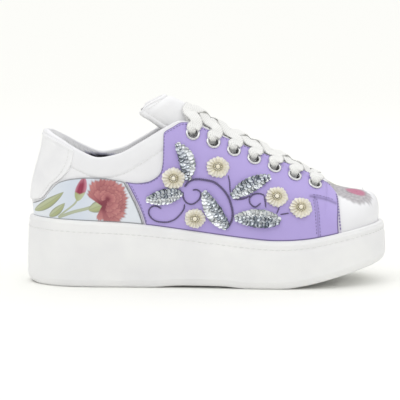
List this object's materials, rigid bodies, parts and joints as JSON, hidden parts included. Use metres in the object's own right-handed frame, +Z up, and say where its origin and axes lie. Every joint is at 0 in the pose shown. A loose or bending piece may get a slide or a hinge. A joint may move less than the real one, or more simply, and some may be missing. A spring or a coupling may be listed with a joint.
{
  "type": "oversized sneaker",
  "caption": "Low right-foot sneaker on a deep platform cup sole, with a lilac quarter sewn with sequin leaves and pearl flowers, a floral heel panel, padded tongue and flat laces.",
  "frame": {"origin": "on the floor under the middle of the sole's box", "axes": "+X to the toe, +Z up, -Y the outer side of a right shoe"},
  "size_m": [0.305, 0.106, 0.159],
  "materials": {
    "rubber_white": "matt moulded",
    "lining_grey": "matt",
    "leather_white": "satin grain",
    "leather_lilac": "satin grain",
    "leather_printed": "satin, printed",
    "cotton_white": "woven",
    "nickel": "polished",
    "petals_ivory": "satin",
    "sequins_silver": "mirror"
  },
  "bodies": {
    "root": {"eyelet_lateral_1": "nickel", "eyelet_lateral_2": "nickel", "eyelet_lateral_3": "nickel", "eyelet_lateral_4": "nickel", "eyelet_lateral_5": "nickel", "eyelet_lateral_6": "nickel", "eyelet_lateral_7": "nickel", "eyelet_medial_1": "nickel", "eyelet_medial_2": "nickel", "eyelet_medial_3": "nickel", "eyelet_medial_4": "nickel", "eyelet_medial_5": "nickel", "eyelet_medial_6": "nickel", "eyelet_medial_7": "nickel", "flower_1": "petals_ivory", "flower_2": "petals_ivory", "flower_3": "petals_ivory", "flower_4": "petals_ivory", "flower_5": "petals_ivory", "heel_tab": "leather_white", "insole": "lining_grey", "lace": "cotton_white", "leaf_1": "sequins_silver", "leaf_2": "sequins_silver", "leaf_3": "sequins_silver", "leaf_4": "sequins_silver", "leaf_5": "sequins_silver", "quarter_lateral": "leather_lilac", "quarter_medial": "leather_lilac", "rear_panel_lateral": "leather_printed", "rear_panel_medial": "leather_printed", "sole": "rubber_white", "tongue": "leather_white", "upper": "leather_white"}
  },
  "joints": []
}
